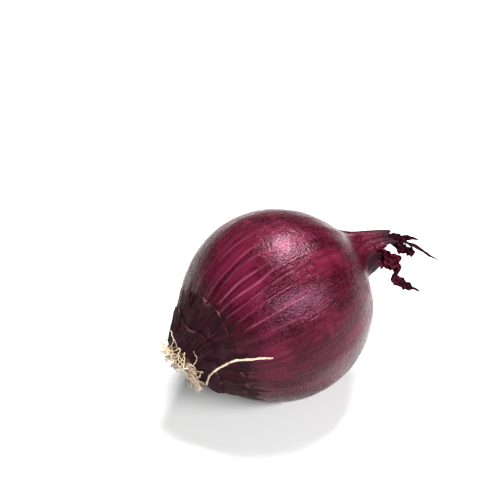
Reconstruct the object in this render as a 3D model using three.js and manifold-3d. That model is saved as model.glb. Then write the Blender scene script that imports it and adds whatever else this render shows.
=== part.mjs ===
// A red onion lying on its side: the bulb with its closed neck, the torn dry skin round the root end,
// the corky root plate with its dried roots, and the shrivelled leaf ends at the neck. Millimetres, +Z up.
//
// The origin is the middle of the small flat spot that the bulb rests on. The onion's own axis runs from
// the roots, at -X, to the neck, at +X, and rises by TILT towards the neck. Every piece is shaped in the
// onion's own frame: X along the axis from the middle of the bulb, and an angle round the axis measured
// from +Y towards +Z.

import * as THREE from "three";
import { mergeVertices } from "three/addons/utils/BufferGeometryUtils.js";
import Module from "manifold-3d";

const wasm = await Module();
wasm.setup();

// ---- Driving dimensions ----
const BULB_RADIUS = 37.5;
const TILT = THREE.MathUtils.degToRad(15); // how far the neck end is raised
const FLAT_DEPTH = 1.0; // how deep the resting spot is pressed into the round of the bulb
const GAP = 0.3; // clearance between two pieces that touch
const FLOOR_BLOCK = 60; // the block that cuts the resting spot, wider than the spot and deeper than FLAT_DEPTH

// The bulb's profile, as shares of BULB_RADIUS along the axis.
const ROOT_END = -1.17; // the flat end that the root plate sits on
const CONE_START = -Math.SQRT1_2; // where the ball runs out into the 45 degree root cone
const SHOULDER = 0.9; // where the ball turns into the neck
const NECK_END = 1.34;
const NECK_RADIUS = 0.185; // of the neck where it leaves the shoulder, without the fillet
const NECK_TAPER = 0.1; // loss of neck radius for each unit of length
const FILLET_LENGTH = 0.12; // how fast the shoulder's fillet dies out along the neck
const NECK_SHIFT = 0.065; // how far the neck stands off the axis, and from where to where it leaves it
const NECK_SHIFT_FROM = 0.75;
const NECK_SHIFT_TO = 1.05;
const NECK_SHIFT_ANGLE = THREE.MathUtils.degToRad(50);
const NECK_DROOP = 0.5; // how strongly the neck bends back towards the other side, and from where
const NECK_DROOP_FROM = 1.0;
const ROOT_SLANT = 0.09; // how far the slanting root end is pushed in on one side, and from where
const ROOT_SLANT_ANGLE = THREE.MathUtils.degToRad(229);
const ROOT_SLANT_FROM = -0.98;

// The bulb isn't quite round: waves round the axis, counted from the underside.
const OVAL = 0.012;
const THREE_LOBED = 0.006;
const UNDERSIDE = -Math.PI / 2;

// How finely the round pieces are cut: steps round the axis, and rows along each stretch of the profile.
const BULB_SEGMENTS = 52;
const CONE_ROWS = 10;
const BALL_ROWS = 24;
const NECK_ROWS = 9;
const NECK_ROW_SPREAD = 1.3; // above 1, the rows crowd together in the shoulder's fillet
const SKIN_SEGMENTS = 44;
const SKIN_ROWS = 8;
const PLATE_SEGMENTS = 28;
const PLATE_ROWS = 5;

// ---- Colours ----
const skin = new THREE.MeshStandardMaterial({ color: 0x6e1f3c, roughness: 0.4, metalness: 0 });
const drySkin = new THREE.MeshStandardMaterial({ color: 0x3a1a24, roughness: 0.75, metalness: 0 });
const dryLeaf = new THREE.MeshStandardMaterial({ color: 0x4b1526, roughness: 0.65, metalness: 0 });
const cork = new THREE.MeshStandardMaterial({ color: 0xa58a62, roughness: 0.9, metalness: 0 });
const rootFibre = new THREE.MeshStandardMaterial({ color: 0xcdb88e, roughness: 0.8, metalness: 0 });

// ---- The bulb's surface ----

/** Radius of the plain round profile at a share of BULB_RADIUS along the axis. */
function profileRadius(share) {
  if (share < CONE_START) return BULB_RADIUS * (Math.SQRT2 + share);
  const ball = Math.sqrt(Math.max(0, 1 - share * share));
  if (share < SHOULDER) return BULB_RADIUS * ball;
  const beyond = share - SHOULDER;
  const fillet = Math.sqrt(1 - SHOULDER * SHOULDER) - NECK_RADIUS;
  const neck = NECK_RADIUS - NECK_TAPER * beyond + fillet * Math.exp(-beyond / FILLET_LENGTH);
  return BULB_RADIUS * neck;
}

/** How much the bulb is swollen at an angle round the axis, 1 being round. Neck and root end stay round. */
function swelling(share, angle) {
  const turn = angle - UNDERSIDE;
  const reach = 1 - THREE.MathUtils.smoothstep(Math.abs(share), 0.6, 1.1);
  return 1 + reach * (OVAL * Math.cos(2 * turn) + THREE_LOBED * Math.cos(3 * turn));
}

/** The middle of the bulb or neck at a share along the axis. The neck stands off the axis and droops. */
function middle(share) {
  const offAxis = NECK_SHIFT * THREE.MathUtils.smoothstep(share, NECK_SHIFT_FROM, NECK_SHIFT_TO);
  const droop = NECK_DROOP * Math.max(share - NECK_DROOP_FROM, 0) ** 2;
  const shift = BULB_RADIUS * (offAxis - droop);
  return new THREE.Vector3(
    share * BULB_RADIUS,
    shift * Math.cos(NECK_SHIFT_ANGLE),
    shift * Math.sin(NECK_SHIFT_ANGLE),
  );
}

/** How far the root end is pushed in, at an angle and at a share, reach, of its radius. */
function slant(angle, reach = 1) {
  return (BULB_RADIUS * ROOT_SLANT * (1 + reach * Math.cos(angle - ROOT_SLANT_ANGLE))) / 2;
}

/** A point at a share along the axis, an angle round it and a lift in mm above the bulb's surface. */
function onSkin(share, angle, lift = 0) {
  const radius = profileRadius(share) * swelling(share, angle) + lift;
  const pushed = slant(angle) * THREE.MathUtils.smoothstep(-share, -ROOT_SLANT_FROM, -ROOT_END);
  return middle(share).add(new THREE.Vector3(pushed, radius * Math.cos(angle), radius * Math.sin(angle)));
}

/** Even steps from one value to another, both included, each passed through a rule. */
function steps(from, to, count, rule = (value) => value) {
  return Array.from({ length: count + 1 }, (_, i) => rule(THREE.MathUtils.lerp(from, to, i / count)));
}

/**
 * Turns a profile of (radius, height) points, then moves each vertex to the place in the onion's frame
 * that a rule gives for its height, radius and angle.
 */
function reshapeLathe(profile, segments, place) {
  const lathe = new THREE.LatheGeometry(profile, segments);
  const position = lathe.attributes.position;
  const vertex = new THREE.Vector3();
  for (let i = 0; i < position.count; i++) {
    vertex.fromBufferAttribute(position, i);
    const radius = Math.hypot(vertex.x, vertex.z);
    const angle = Math.atan2(vertex.x, vertex.z);
    const placed = place(vertex.y, radius, angle);
    position.setXYZ(i, placed.x, placed.y, placed.z);
  }
  return lathe;
}

/** Named mesh with flat-shaded normals. */
function piece(name, geometry, material) {
  geometry.computeVertexNormals();
  const mesh = new THREE.Mesh(geometry, material);
  mesh.name = name;
  return mesh;
}

// ---- Solids for the boolean cut ----

function toSolid(geometry, matrix = new THREE.Matrix4()) {
  const bare = new THREE.BufferGeometry();
  bare.setAttribute("position", geometry.attributes.position.clone());
  bare.setIndex(geometry.index);
  const merged = mergeVertices(bare.applyMatrix4(matrix), 1e-3);
  return new wasm.Manifold(
    new wasm.Mesh({
      numProp: 3,
      vertProperties: merged.attributes.position.array,
      triVerts: new Uint32Array(merged.index.array),
    }),
  );
}

function toGeometry(solid) {
  const mesh = solid.getMesh();
  const geometry = new THREE.BufferGeometry();
  geometry.setAttribute("position", new THREE.BufferAttribute(new Float32Array(mesh.vertProperties), 3));
  geometry.setIndex(new THREE.BufferAttribute(new Uint32Array(mesh.triVerts), 1));
  return geometry;
}

// ---- The onion's own frame, standing in the part's frame ----

const onion = new THREE.Group();
onion.rotation.y = -TILT;
// The flat spot lies under the middle of the bulb, FLAT_DEPTH up from the ball's lowest point.
const flatSwelling = swelling(-Math.sin(TILT), UNDERSIDE);
onion.position.z = BULB_RADIUS * flatSwelling - FLAT_DEPTH;
onion.updateMatrix();

// ---- Bulb ----

function makeBulb() {
  const cone = steps(ROOT_END, CONE_START, CONE_ROWS);
  const ball = steps(Math.asin(CONE_START), Math.asin(SHOULDER), BALL_ROWS, Math.sin);
  const neck = steps(0, 1, NECK_ROWS, (t) => THREE.MathUtils.lerp(SHOULDER, NECK_END, t ** NECK_ROW_SPREAD));
  const rows = [...cone, ...ball.slice(1), ...neck.slice(1)];
  const outline = rows.map((share) => new THREE.Vector2(1, share));
  const profile = [new THREE.Vector2(0, ROOT_END), ...outline, new THREE.Vector2(0, NECK_END)];
  const round = reshapeLathe(profile, BULB_SEGMENTS, (share, cover, angle) => {
    if (cover > 0.5) return onSkin(share, angle);
    const end = middle(share);
    return share < 0 ? end.setX(end.x + slant(angle, 0)) : end;
  });

  // The floor's half space, brought into the onion's frame, cuts the resting spot.
  const below = new THREE.BoxGeometry(FLOOR_BLOCK, FLOOR_BLOCK, FLOOR_BLOCK).translate(0, 0, -FLOOR_BLOCK / 2);
  const floor = toSolid(below, onion.matrix.clone().invert());
  return piece("bulb", toGeometry(toSolid(round).subtract(floor)), skin);
}

// ---- Torn dry skin round the root end ----

const INNER_FACE = 1;
const OUTER_FACE = 2;
const SHELL = 0.5; // thickness of each torn shell

/** A thin shell over the bulb between two shares along the axis, with a torn edge towards the neck. */
function makeTornSkin(name, { from, to, lift, thickness, tears }) {
  // The closed section runs out along the outer face and back along the inner one: x is the face, y the row.
  const outer = steps(0, 1, SKIN_ROWS).map((row) => new THREE.Vector2(OUTER_FACE, row));
  const inner = outer.map(({ y }) => new THREE.Vector2(INNER_FACE, y)).reverse();
  const profile = [...outer, ...inner, outer[0].clone()];
  const geometry = reshapeLathe(profile, SKIN_SEGMENTS, (row, face, angle) => {
    const share = THREE.MathUtils.lerp(from, to + tears(angle), row);
    return onSkin(share, angle, lift + (face - INNER_FACE) * thickness);
  });
  return piece(name, geometry, drySkin);
}

const outerSkin = makeTornSkin("outer_skin", {
  from: -1.11,
  to: -0.78,
  lift: GAP + 0.05,
  thickness: SHELL,
  tears: (angle) => 0.05 * Math.cos(angle - 1.9) + 0.025 * Math.sin(5 * angle) + 0.015 * Math.cos(9 * angle),
});

const rootSkirt = makeTornSkin("root_skirt", {
  from: -1.165,
  to: -0.99,
  lift: 2 * GAP + SHELL,
  thickness: SHELL,
  tears: (angle) => 0.03 * Math.sin(4 * angle + 0.7) + 0.02 * Math.cos(7 * angle),
});

// ---- Root plate ----

const PLATE_RADIUS = 0.21 * BULB_RADIUS;
const PLATE_RIM = 1.2; // thickness at the rim
const PLATE_DOME = 1.2; // how far its middle stands out past the rim
const PLATE_BACK = ROOT_END * BULB_RADIUS - GAP;

/** Height of the plate's outer face at a distance from the axis. */
function plateFace(radius) {
  const dome = PLATE_DOME * (1 - (radius / PLATE_RADIUS) ** 2);
  return PLATE_BACK - PLATE_RIM - dome;
}

function makeRootPlate() {
  const radii = steps(0, PLATE_RADIUS, PLATE_ROWS);
  const face = radii.map((radius) => new THREE.Vector2(radius, plateFace(radius)));
  const profile = [...face, new THREE.Vector2(PLATE_RADIUS, PLATE_BACK), new THREE.Vector2(0, PLATE_BACK)];
  const plate = reshapeLathe(profile, PLATE_SEGMENTS, (height, radius, angle) => {
    const x = height + slant(angle, radius / PLATE_RADIUS);
    return new THREE.Vector3(x, radius * Math.cos(angle), radius * Math.sin(angle));
  });
  return piece("root_plate", plate, cork);
}

// ---- Strands: roots and leaf ends ----

const TAPER_POWER = 1.5; // above 1, a strand stays wide near its root

/** Bends a cylinder along a curve, as a flat or round strand that tapers to a share, tip, of its size. */
function makeStrand(name, points, { width, thickness, tip, sides, rows, material }) {
  const curve = new THREE.CatmullRomCurve3(points, false, "centripetal");
  const frames = curve.computeFrenetFrames(rows, false);
  const strand = new THREE.CylinderGeometry(1, 1, 1, sides, rows);
  const position = strand.attributes.position;
  for (let i = 0; i < position.count; i++) {
    const along = 0.5 - position.getY(i);
    const row = Math.round(along * rows);
    const size = THREE.MathUtils.lerp(1, tip, along ** TAPER_POWER);
    const placed = curve.getPointAt(row / rows);
    placed.addScaledVector(frames.normals[row], (position.getX(i) * width * size) / 2);
    placed.addScaledVector(frames.binormals[row], (position.getZ(i) * thickness * size) / 2);
    position.setXYZ(i, placed.x, placed.y, placed.z);
  }
  return piece(name, strand, material);
}

const degrees = THREE.MathUtils.degToRad;
const root = { width: 1.0, thickness: 1.0, tip: 0.45, sides: 6, rows: 8, material: rootFibre };

/** The one long root, which turns back over the edge of the plate and lies along the side of the bulb. */
function makeLongRoot() {
  const radius = PLATE_RADIUS + 1.6;
  const angle = degrees(227);
  const start = new THREE.Vector3(
    PLATE_BACK - PLATE_RIM - GAP + slant(angle),
    radius * Math.cos(angle),
    radius * Math.sin(angle),
  );
  // Share along the axis, angle round it in degrees and lift above the skin in mm.
  const route = [
    [-1.165, 212, 3.2],
    [-1.155, 198, 3.0],
    [-1.11, 180, 2.9],
    [-1.02, 168, 2.7],
    [-0.93, 162, 2.4],
    [-0.83, 159.5, 2.0],
    [-0.77, 160, 1.9],
    [-0.65, 161.5, 1.6],
    [-0.515, 164, 1.5],
  ];
  const points = route.map(([share, angle, lift]) => onSkin(share, degrees(angle), lift));
  return makeStrand("long_root", [start, ...points], { ...root, rows: 20, tip: 0.8 });
}

const ROOT_GAP = GAP + 0.2; // the dome slopes under a root's flat end

/** A short root from a radius and angle on the plate's face, which leans outwards and curls to one side. */
function makeShortRoot(name, { radius, angle, length, lean, curl }) {
  const out = degrees(angle);
  const side = out + Math.PI / 2;
  const base = plateFace(radius) - ROOT_GAP + slant(out, radius / PLATE_RADIUS);
  const points = [0, 0.35, 0.7, 1].map((t) => {
    const reach = radius + lean * t ** 1.5;
    const swing = curl * t * t;
    return new THREE.Vector3(
      base - length * t,
      reach * Math.cos(out) + swing * Math.cos(side),
      reach * Math.sin(out) + swing * Math.sin(side),
    );
  });
  return makeStrand(name, points, root);
}

const SHORT_ROOTS = [
  { radius: 6.6, angle: 40, length: 3.5, lean: 4.5, curl: 5.0 },
  { radius: 6.4, angle: 84, length: 2.6, lean: 3.6, curl: -3.0 },
  { radius: 6.5, angle: 128, length: 4.2, lean: 2.8, curl: 2.4 },
  { radius: 6.6, angle: 172, length: 2.2, lean: 3.0, curl: -3.4 },
  { radius: 6.3, angle: -152, length: 3.6, lean: 2.6, curl: 2.6 },
  { radius: 6.5, angle: -92, length: 3.0, lean: 2.4, curl: -3.0 },
  { radius: 6.4, angle: -48, length: 4.4, lean: 3.4, curl: 2.8 },
  { radius: 6.5, angle: -4, length: 3.2, lean: 3.8, curl: -2.6 },
  { radius: 3.4, angle: 60, length: 4.6, lean: 2.0, curl: 2.2 },
  { radius: 3.2, angle: 180, length: 3.8, lean: 1.6, curl: -2.4 },
  { radius: 3.3, angle: -60, length: 4.2, lean: 1.8, curl: 2.0 },
];

// ---- Dry leaf ends at the neck ----

const leaf = { thickness: 1.2, sides: 8, rows: 14, material: dryLeaf };
const NECK_FACE = NECK_END * BULB_RADIUS;
const LEAF_STRAIGHT = 1.6; // each leaf end leaves the neck straight for this length

/** Each leaf end: its place [y, z] on the neck's end face, its width, its taper and its route from there. */
const LEAF_ENDS = {
  neck_leaf_upper: {
    base: [0.6, 0.6],
    width: 3.0,
    tip: 0.6,
    route: [
      [54.1, -1.5, -0.2],
      [55.0, -4.6, -1.6],
      [56.4, -7.9, -3.4],
      [57.6, -10.5, -4.8],
    ],
  },
  neck_leaf_spike: {
    base: [-3.4, 2.2],
    width: 1.6,
    tip: 0.5,
    route: [
      [55.5, -4.6, 3.4],
      [58.8, -8.4, 1.2],
      [61.5, -12.5, -2.9],
      [64.0, -16.9, -7.2],
    ],
  },
  neck_leaf_lower: {
    base: [-2.6, -2.4],
    width: 3.0,
    tip: 0.3,
    route: [
      [53.4, -5.0, -3.0],
      [51.4, -9.4, -3.4],
      [48.8, -12.4, -4.6],
      [46.6, -14.4, -7.0],
      [48.7, -17.9, -10.1],
      [51.0, -20.8, -12.4],
    ],
  },
  neck_leaf_back: {
    base: [3.8, -0.8],
    width: 2.0,
    tip: 0.5,
    route: [
      [54.2, 4.6, -2.6],
      [56.0, 4.6, -5.5],
      [57.4, 4.0, -8.4],
    ],
  },
  neck_leaf_stub: {
    base: [-0.2, 3.9],
    width: 1.8,
    tip: 0.6,
    route: [
      [55.5, -0.8, 4.2],
      [58.5, -2.6, 3.0],
      [61.0, -5.0, 1.0],
    ],
  },
};

function makeLeafEnd(name, { base, width, tip, route }) {
  const start = new THREE.Vector3(NECK_FACE + GAP, ...base);
  const straight = start.clone().setX(start.x + LEAF_STRAIGHT);
  const onward = route.map(([x, y, z]) => new THREE.Vector3(x, y, z));
  return makeStrand(name, [start, straight, ...onward], { ...leaf, width, tip });
}

// ---- Assembly ----

onion.add(makeBulb(), outerSkin, rootSkirt, makeRootPlate(), makeLongRoot());
SHORT_ROOTS.forEach((shape, i) => onion.add(makeShortRoot(`root_${i + 1}`, shape)));
Object.entries(LEAF_ENDS).forEach(([name, shape]) => onion.add(makeLeafEnd(name, shape)));

const part = new THREE.Group();
part.add(onion);

export default part;
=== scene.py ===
"""A red onion lying on its side, on a plain pale floor under soft studio light.

It has satin skin with pale veins, torn dry skin and a tuft of roots at one end, and a torn neck with
shrivelled leaf ends at the other.
"""

import logging
import math
from collections.abc import Callable, Sequence
from dataclasses import dataclass, field
from enum import Enum
from functools import cached_property

import bpy
import numpy as np
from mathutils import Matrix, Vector


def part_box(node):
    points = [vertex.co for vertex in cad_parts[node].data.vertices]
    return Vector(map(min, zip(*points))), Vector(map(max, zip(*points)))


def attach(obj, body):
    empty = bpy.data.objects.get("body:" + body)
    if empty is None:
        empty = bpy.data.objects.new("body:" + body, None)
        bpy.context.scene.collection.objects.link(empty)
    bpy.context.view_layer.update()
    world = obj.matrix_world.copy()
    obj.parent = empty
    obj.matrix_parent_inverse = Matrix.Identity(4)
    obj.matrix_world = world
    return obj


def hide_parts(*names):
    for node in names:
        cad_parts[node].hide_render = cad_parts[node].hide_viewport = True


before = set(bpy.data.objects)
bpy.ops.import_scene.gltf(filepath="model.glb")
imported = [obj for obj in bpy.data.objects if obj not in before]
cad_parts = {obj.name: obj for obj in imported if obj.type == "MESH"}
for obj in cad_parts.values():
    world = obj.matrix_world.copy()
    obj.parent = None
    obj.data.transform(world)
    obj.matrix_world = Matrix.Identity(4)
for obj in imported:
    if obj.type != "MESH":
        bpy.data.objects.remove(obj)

log = logging.getLogger("onion")
MM = 0.001
BODY = "root"
Colour = tuple[float, float, float]


# ---- Small numeric helpers ----


def smoothstep(value: np.ndarray, low: float, high: float) -> np.ndarray:
    """Eases from 0 at low to 1 at high.

    Args:
        value: the values to ease.
        low: where the result leaves 0.
        high: where the result reaches 1.

    Returns:
        The eased values, from 0 to 1.
    """
    t = np.clip((value - low) / (high - low), 0.0, 1.0)
    return t * t * (3.0 - 2.0 * t)


def bell(value: np.ndarray, width: float) -> np.ndarray:
    """A rounded bump, 1 at zero and nearly 0 beyond one width."""
    return np.exp(-((value / width) ** 2) * 2.0)


def turn_between(angle: np.ndarray, other: float) -> np.ndarray:
    """The signed turn from other to angle, from -pi to pi."""
    return (angle - other + math.pi) % (2.0 * math.pi) - math.pi


class Lattice:
    """Smooth seeded noise in space, made from random slopes on a repeating lattice."""

    def __init__(self, seed: int, size: int = 32) -> None:
        """Draws the slopes.

        Args:
            seed: seed of the slopes.
            size: lattice points along each side before the pattern repeats.
        """
        self.size = size
        slopes = np.random.default_rng(seed).normal(size=(size, size, size, 3))
        self.slopes = slopes / np.linalg.norm(slopes, axis=-1, keepdims=True)

    def __call__(self, points: np.ndarray) -> np.ndarray:
        """The noise at each point, from about -0.7 to 0.7, with lumps about one unit wide.

        Args:
            points: places, in lumps.

        Returns:
            The noise at each place.
        """
        cell = np.floor(points).astype(int)
        part = points - cell
        ease = part**3 * (part * (part * 6.0 - 15.0) + 10.0)
        total = np.zeros(len(points))
        for corner in np.ndindex(2, 2, 2):
            x, y, z = ((cell + corner) % self.size).T
            weight = np.prod(np.where(corner, ease, 1.0 - ease), axis=-1)
            total += weight * np.sum(self.slopes[x, y, z] * (part - corner), axis=-1)
        return total


LATTICE = Lattice(4)


def lumps(points: np.ndarray, size: float, seed: float, octaves: int = 1) -> np.ndarray:
    """Smooth noise in space.

    Args:
        points: places, in metres, as rows of x, y and z in the last axis.
        size: the width of one lump, in metres.
        seed: moves the pattern, so that two uses differ.
        octaves: how many finer layers are added, each half as wide and half as strong.

    Returns:
        One value for each point, from about -1 to 1.
    """
    flat = points.reshape(-1, 3) / size + seed * np.array([1.0, 2.3, 3.7])
    total = sum(LATTICE(flat * 2.0**octave) / 2.0**octave for octave in range(octaves))
    return total.reshape(points.shape[:-1]) * 1.6


class Ripples:
    """Seeded waves round the onion's axis, for ribs, pleats and ragged edges."""

    def __init__(self, seed: int, lowest: int, highest: int, fall: float = 0.5) -> None:
        """Draws the waves.

        Args:
            seed: seed of the random phases and sizes.
            lowest: the fewest waves round the axis.
            highest: the most waves round the axis.
            fall: how fast the waves shrink as they get finer.
        """
        rng = np.random.default_rng(seed)
        self.counts = np.arange(lowest, highest + 1)
        self.phases = rng.uniform(0.0, 2.0 * math.pi, len(self.counts))
        self.sizes = rng.uniform(0.5, 1.0, len(self.counts)) * (lowest / self.counts) ** fall
        self.sizes /= np.sqrt((self.sizes**2).sum())

    def __call__(self, angle: np.ndarray) -> np.ndarray:
        """The waves' sum at each angle, mostly from -1.5 to 1.5."""
        waves = np.cos(np.multiply.outer(angle, self.counts) + self.phases)
        return waves @ self.sizes


# ---- Meshes ----


def grid_faces(rows: int, columns: int, close_rows: bool = False, close_columns: bool = True) -> np.ndarray:
    """The four-cornered faces of a grid of points, numbered row by row.

    Args:
        rows: number of rows.
        columns: points in a row.
        close_rows: whether the last row joins the first.
        close_columns: whether each row's last point joins its first.

    Returns:
        One row of four point numbers for each face.
    """
    r = np.arange(rows if close_rows else rows - 1)[:, None]
    c = np.arange(columns if close_columns else columns - 1)[None, :]
    up, right = (r + 1) % rows, (c + 1) % columns
    corners = (r * columns + c, r * columns + right, up * columns + right, up * columns + c)
    return np.stack(np.broadcast_arrays(*corners), axis=-1).reshape(-1, 4)


@dataclass
class Sheaf:
    """Points, faces and point values that are gathered before they become one mesh."""

    points: list[np.ndarray] = field(default_factory=list)
    quads: list[np.ndarray] = field(default_factory=list)
    fans: list[list[int]] = field(default_factory=list)
    values: dict[str, list[np.ndarray]] = field(default_factory=dict)
    count: int = 0

    def add_grid(
        self, points: np.ndarray, close_rows: bool = False, capped: bool = False, **values: np.ndarray
    ) -> None:
        """Adds a grid whose rows close on themselves.

        Args:
            points: the grid, as rows, columns and x, y, z.
            close_rows: whether the last row joins the first.
            capped: whether the first and last rows are each closed with one face.
            values: named numbers for each point, as rows and columns, or with three for each point.
        """
        rows, columns = points.shape[:2]
        self.quads.append(grid_faces(rows, columns, close_rows) + self.count)
        if capped:
            first = [self.count + i for i in range(columns)]
            self.fans.append(first[::-1])
            self.fans.append([i + (rows - 1) * columns for i in first])
        self.points.append(points.reshape(-1, 3))
        for name, value in values.items():
            width = () if value.ndim == 2 else (3,)
            self.values.setdefault(name, []).append(value.reshape(-1, *width))
        self.count += rows * columns

    def piece(self, name: str) -> bpy.types.Object:
        """Makes the mesh object, with each value as an attribute of its points.

        Args:
            name: the object's name.

        Returns:
            The new object, linked to the scene and smooth shaded.
        """
        mesh = bpy.data.meshes.new(name)
        faces = [tuple(q) for q in np.concatenate(self.quads).tolist()] + [tuple(f) for f in self.fans]
        mesh.from_pydata(np.concatenate(self.points).tolist(), [], faces)
        for key, parts in self.values.items():
            value = np.concatenate(parts).astype(np.float32)
            if value.ndim == 1:
                mesh.attributes.new(key, "FLOAT", "POINT").data.foreach_set("value", value)
            else:
                mesh.attributes.new(key, "FLOAT_VECTOR", "POINT").data.foreach_set("vector", value.ravel())
        mesh.polygons.foreach_set("use_smooth", [True] * len(mesh.polygons))
        mesh.update()
        piece = bpy.data.objects.new(name, mesh)
        bpy.context.scene.collection.objects.link(piece)
        return piece


def sample_curve(route: np.ndarray, count: int) -> np.ndarray:
    """Even steps along a smooth curve through the points of a route.

    Args:
        route: the points that the curve goes through, at least three.
        count: number of samples.

    Returns:
        The samples, as rows of x, y and z.
    """
    ends = np.vstack([2 * route[0] - route[1], route, 2 * route[-1] - route[-2]])
    fine = []
    for a, b, c, d in zip(ends, ends[1:], ends[2:], ends[3:]):
        t = np.linspace(0.0, 1.0, 24, endpoint=False)[:, None]
        fine.append(
            0.5 * (2 * b + (c - a) * t + (2 * a - 5 * b + 4 * c - d) * t**2 + (3 * b - a - 3 * c + d) * t**3)
        )
    path = np.vstack([*fine, route[-1:]])
    reach = np.concatenate([[0.0], np.cumsum(np.linalg.norm(np.diff(path, axis=0), axis=1))])
    wanted = np.linspace(0.0, reach[-1], count)
    return np.stack([np.interp(wanted, reach, path[:, i]) for i in range(3)], axis=1)


def carried_frames(path: np.ndarray, first: np.ndarray) -> tuple[np.ndarray, np.ndarray]:
    """Two directions across a path at each of its points, carried along it without twist.

    Args:
        path: the path's points.
        first: the direction that the first of the two starts near.

    Returns:
        The two directions, each as rows of x, y and z.
    """
    ahead = np.gradient(path, axis=0)
    ahead /= np.linalg.norm(ahead, axis=1, keepdims=True)
    side, sides = first, []
    for direction in ahead:
        side = side - direction * (side @ direction)
        side = side / np.linalg.norm(side)
        sides.append(side)
    sides = np.array(sides)
    return sides, np.cross(ahead, sides)


# ---- The onion's own frame and its round form ----


@dataclass(frozen=True)
class OnionForm:
    """The bulb's smooth form: lengths along the axis are shares of its radius, and angles go round the
    axis."""

    oval: float = 0.012
    lobes: float = 0.006
    root_end: float = -1.17
    cone_start: float = -math.sqrt(0.5)
    shoulder: float = 0.9
    neck_radius: float = 0.185
    neck_taper: float = 0.1
    fillet: float = 0.12
    shift: float = 0.065
    shift_from: float = 0.75
    shift_to: float = 1.05
    shift_angle: float = math.radians(50.0)
    droop: float = 0.5
    droop_from: float = 1.0
    slant: float = 0.09
    slant_angle: float = math.radians(229.0)
    underside: float = -math.pi / 2

    @cached_property
    def radius(self) -> float:
        """The ball's radius, from the bulb's width in the frame."""
        low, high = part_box("bulb")
        return (high.y - low.y) / 2 / (1.0 - self.oval)

    @cached_property
    def centre(self) -> Vector:
        """The middle of the ball, from the bulb's top in the frame."""
        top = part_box("bulb")[1].z
        return Vector((0.0, 0.0, top - self.radius * (1.0 + self.oval - self.lobes)))

    @cached_property
    def tilt(self) -> float:
        """How far the axis rises towards the neck, from the root plate's place in the frame.

        Returns:
            The angle, in radians.
        """
        low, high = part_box("root_plate")
        back = self.centre - (low + high) / 2
        return math.atan2(back.z, back.x)

    def profile(self, share: np.ndarray) -> np.ndarray:
        """Radius at a share along the axis, as a share of the ball's.

        Args:
            share: places along the axis.

        Returns:
            The radius at each place.
        """
        ball = np.sqrt(np.maximum(0.0, 1.0 - share**2))
        beyond = np.maximum(share - self.shoulder, 0.0)
        curve = math.sqrt(1.0 - self.shoulder**2) - self.neck_radius
        neck = self.neck_radius - self.neck_taper * beyond + curve * np.exp(-beyond / self.fillet)
        cone = math.sqrt(2.0) + share
        return np.where(share < self.cone_start, cone, np.where(share < self.shoulder, ball, neck))

    def swelling(self, share: np.ndarray, angle: np.ndarray) -> np.ndarray:
        """How far the bulb is from round, 1 being round.

        Args:
            share: places along the axis.
            angle: angles round the axis.

        Returns:
            The swelling at each place.
        """
        turn = angle - self.underside
        reach = 1.0 - smoothstep(np.abs(share), 0.6, 1.1)
        return 1.0 + reach * (self.oval * np.cos(2 * turn) + self.lobes * np.cos(3 * turn))

    def push(self, angle: np.ndarray, reach: np.ndarray | float = 1.0) -> np.ndarray:
        """How far the slanting root end is pushed in, at an angle and a share of the plate's radius."""
        return self.slant * (1.0 + reach * np.cos(angle - self.slant_angle)) / 2.0

    def surface(self, share: np.ndarray, angle: np.ndarray, lift: np.ndarray | float = 0.0) -> np.ndarray:
        """Places over the bulb, in the onion's own frame.

        Args:
            share: places along the axis, from the roots to the neck.
            angle: angles round the axis.
            lift: height above the bulb's smooth form, in metres.

        Returns:
            x, y and z of each place, in metres, in the last axis.
        """
        radius = self.radius * self.profile(share) * self.swelling(share, angle) + lift
        bent = self.droop * np.maximum(share - self.droop_from, 0.0) ** 2
        off = self.radius * (self.shift * smoothstep(share, self.shift_from, self.shift_to) - bent)
        pushed = share + self.push(angle) * smoothstep(-share, 0.98, -self.root_end)
        y = radius * np.cos(angle) + off * math.cos(self.shift_angle)
        z = radius * np.sin(angle) + off * math.sin(self.shift_angle)
        return np.stack(np.broadcast_arrays(pushed * self.radius, y, z), axis=-1)

    def stand(self, points: np.ndarray) -> np.ndarray:
        """Brings places from the onion's own frame into the row's frame.

        Args:
            points: places in the onion's own frame.

        Returns:
            The same places in the row's frame.
        """
        cos, sin = math.cos(self.tilt), math.sin(self.tilt)
        x, y, z = np.moveaxis(points, -1, 0)
        row = np.stack([x * cos - z * sin, y, x * sin + z * cos], axis=-1)
        return row + np.array(self.centre)

    def lie(self, points: np.ndarray) -> np.ndarray:
        """Brings places from the row's frame into the onion's own frame.

        Args:
            points: places in the row's frame.

        Returns:
            The same places in the onion's own frame.
        """
        cos, sin = math.cos(self.tilt), math.sin(self.tilt)
        x, y, z = np.moveaxis(points - np.array(self.centre), -1, 0)
        return np.stack([x * cos + z * sin, y, z * cos - x * sin], axis=-1)

    def grain(self, share: np.ndarray, angle: np.ndarray) -> np.ndarray:
        """Fibre coordinates in mm: x and y go round the axis, and z runs along the fibres.

        Args:
            share: places along the axis.
            angle: angles round the axis.

        Returns:
            The fibre coordinates of each place.
        """
        across = self.radius / MM
        return np.stack(
            np.broadcast_arrays(across * np.cos(angle), across * np.sin(angle), across * share), axis=-1
        )


def settle(points: np.ndarray, softness: float) -> np.ndarray:
    """Presses whatever would sink below the floor up onto it, with a rounded edge.

    Args:
        points: places in the row's frame.
        softness: how round the pressed edge is, in metres.

    Returns:
        The places, none of them under the floor.
    """
    settled = points.copy()
    z = settled[..., 2]
    settled[..., 2] = 0.5 * (z + np.sqrt(z * z + softness * softness))
    return settled


# ---- Shader nodes ----


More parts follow.
